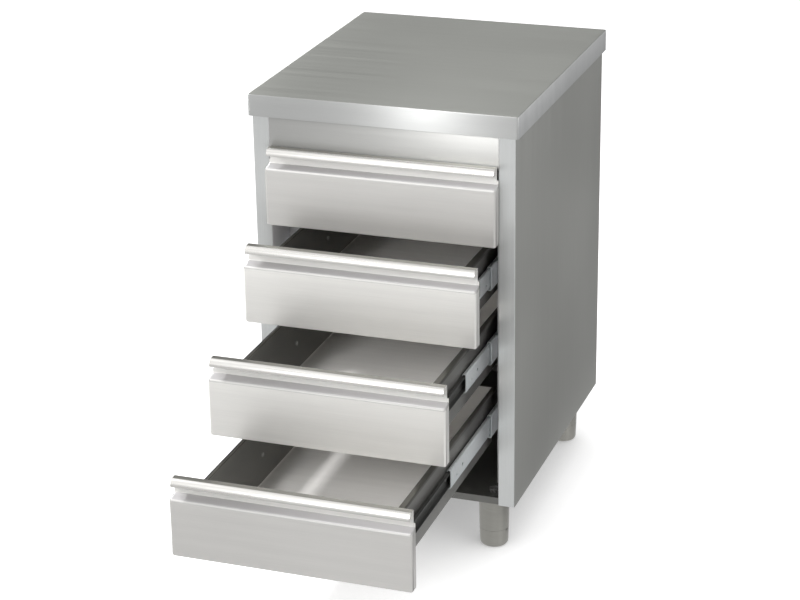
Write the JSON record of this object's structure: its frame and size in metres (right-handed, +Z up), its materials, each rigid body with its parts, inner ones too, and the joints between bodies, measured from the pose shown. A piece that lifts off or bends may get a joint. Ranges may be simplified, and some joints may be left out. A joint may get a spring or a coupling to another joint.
{
  "type": "drawer unit",
  "caption": "Stainless steel drawer unit with a folded worktop, pull-out drawers on telescopic slides, finger-grip fronts with a rolled lip, and levelling legs.",
  "frame": {"origin": "on the floor, in the middle of the stored object's outline with its drawers open", "axes": "+X to the right as seen from the front, +Y to the back, +Z up"},
  "size_m": [0.5, 1.077, 0.85],
  "materials": {
    "sheet": "brushed",
    "drawer_front": "brushed",
    "drawer_box": "satin",
    "slide": "zinc plated",
    "leg": "turned",
    "fixing": "zinc plated",
    "board": "raw"
  },
  "bodies": {
    "casing": {"worktop": "sheet", "worktop_core": "board", "front_rail": "sheet", "rear_rail": "sheet", "back_panel": "sheet", "bottom_panel": "sheet", "slide_screws": "fixing", "leg_bolts": "fixing", "side_panel_left": "sheet", "side_panel_right": "sheet", "upright_front_left": "sheet", "upright_back_left": "sheet", "upright_front_right": "sheet", "upright_back_right": "sheet", "leg_front_left": "leg", "leg_back_left": "leg", "leg_front_right": "leg", "leg_back_right": "leg", "slide_case_1_left": "slide", "slide_case_1_right": "slide", "slide_case_2_left": "slide", "slide_case_2_right": "slide", "slide_case_3_left": "slide", "slide_case_3_right": "slide", "slide_case_4_left": "slide", "slide_case_4_right": "slide"},
    "drawer_1": {"drawer_front_1": "drawer_front", "drawer_box_1": "drawer_box", "drawer_fixings_1": "fixing", "slide_drawer_1_left": "slide", "slide_drawer_1_right": "slide"},
    "drawer_2": {"drawer_front_2": "drawer_front", "drawer_box_2": "drawer_box", "drawer_fixings_2": "fixing", "slide_drawer_2_left": "slide", "slide_drawer_2_right": "slide"},
    "drawer_3": {"drawer_front_3": "drawer_front", "drawer_box_3": "drawer_box", "drawer_fixings_3": "fixing", "slide_drawer_3_left": "slide", "slide_drawer_3_right": "slide"},
    "drawer_4": {"drawer_front_4": "drawer_front", "drawer_box_4": "drawer_box", "drawer_fixings_4": "fixing", "slide_drawer_4_left": "slide", "slide_drawer_4_right": "slide"},
    "middle_1_left": {"slide_middle_1_left": "slide"},
    "middle_1_right": {"slide_middle_1_right": "slide"},
    "middle_2_left": {"slide_middle_2_left": "slide"},
    "middle_2_right": {"slide_middle_2_right": "slide"},
    "middle_3_left": {"slide_middle_3_left": "slide"},
    "middle_3_right": {"slide_middle_3_right": "slide"},
    "middle_4_left": {"slide_middle_4_left": "slide"},
    "middle_4_right": {"slide_middle_4_right": "slide"},
    "levelling_foot_front_left": {"foot_front_left": "leg"},
    "levelling_foot_back_left": {"foot_back_left": "leg"},
    "levelling_foot_front_right": {"foot_front_right": "leg"},
    "levelling_foot_back_right": {"foot_back_right": "leg"}
  },
  "joints": [
    {"name": "drawer_1_slide", "type": "slide", "parent": "casing", "child": "drawer_1", "axis": [0, -1, 0], "range_m": [0, 0.5]},
    {"name": "drawer_2_slide", "type": "slide", "parent": "casing", "child": "drawer_2", "axis": [0, -1, 0], "range_m": [-0.112, 0.388]},
    {"name": "drawer_3_slide", "type": "slide", "parent": "casing", "child": "drawer_3", "axis": [0, -1, 0], "range_m": [-0.283, 0.217]},
    {"name": "drawer_4_slide", "type": "slide", "parent": "casing", "child": "drawer_4", "axis": [0, -1, 0], "range_m": [-0.46, 0.04]},
    {"name": "middle_1_left_slide", "type": "slide", "parent": "casing", "child": "middle_1_left", "axis": [0, -1, 0], "range_m": [0, 0.25]},
    {"name": "middle_1_right_slide", "type": "slide", "parent": "casing", "child": "middle_1_right", "axis": [0, -1, 0], "range_m": [0, 0.25]},
    {"name": "middle_2_left_slide", "type": "slide", "parent": "casing", "child": "middle_2_left", "axis": [0, -1, 0], "range_m": [-0.056, 0.194]},
    {"name": "middle_2_right_slide", "type": "slide", "parent": "casing", "child": "middle_2_right", "axis": [0, -1, 0], "range_m": [-0.056, 0.194]},
    {"name": "middle_3_left_slide", "type": "slide", "parent": "casing", "child": "middle_3_left", "axis": [0, -1, 0], "range_m": [-0.1415, 0.1085]},
    {"name": "middle_3_right_slide", "type": "slide", "parent": "casing", "child": "middle_3_right", "axis": [0, -1, 0], "range_m": [-0.1415, 0.1085]},
    {"name": "middle_4_left_slide", "type": "slide", "parent": "casing", "child": "middle_4_left", "axis": [0, -1, 0], "range_m": [-0.23, 0.02]},
    {"name": "middle_4_right_slide", "type": "slide", "parent": "casing", "child": "middle_4_right", "axis": [0, -1, 0], "range_m": [-0.23, 0.02]},
    {"name": "levelling_foot_front_left_screw", "type": "slide", "parent": "casing", "child": "levelling_foot_front_left", "axis": [0, 0, -1], "range_m": [0, 0.025]},
    {"name": "levelling_foot_back_left_screw", "type": "slide", "parent": "casing", "child": "levelling_foot_back_left", "axis": [0, 0, -1], "range_m": [0, 0.025]},
    {"name": "levelling_foot_front_right_screw", "type": "slide", "parent": "casing", "child": "levelling_foot_front_right", "axis": [0, 0, -1], "range_m": [0, 0.025]},
    {"name": "levelling_foot_back_right_screw", "type": "slide", "parent": "casing", "child": "levelling_foot_back_right", "axis": [0, 0, -1], "range_m": [0, 0.025]}
  ],
  "couplings": [
    {"joint": "middle_1_left_slide", "follows": "drawer_1_slide", "ratio": 0.5},
    {"joint": "middle_1_right_slide", "follows": "drawer_1_slide", "ratio": 0.5},
    {"joint": "middle_2_left_slide", "follows": "drawer_2_slide", "ratio": 0.5},
    {"joint": "middle_2_right_slide", "follows": "drawer_2_slide", "ratio": 0.5},
    {"joint": "middle_3_left_slide", "follows": "drawer_3_slide", "ratio": 0.5},
    {"joint": "middle_3_right_slide", "follows": "drawer_3_slide", "ratio": 0.5},
    {"joint": "middle_4_left_slide", "follows": "drawer_4_slide", "ratio": 0.5},
    {"joint": "middle_4_right_slide", "follows": "drawer_4_slide", "ratio": 0.5}
  ]
}
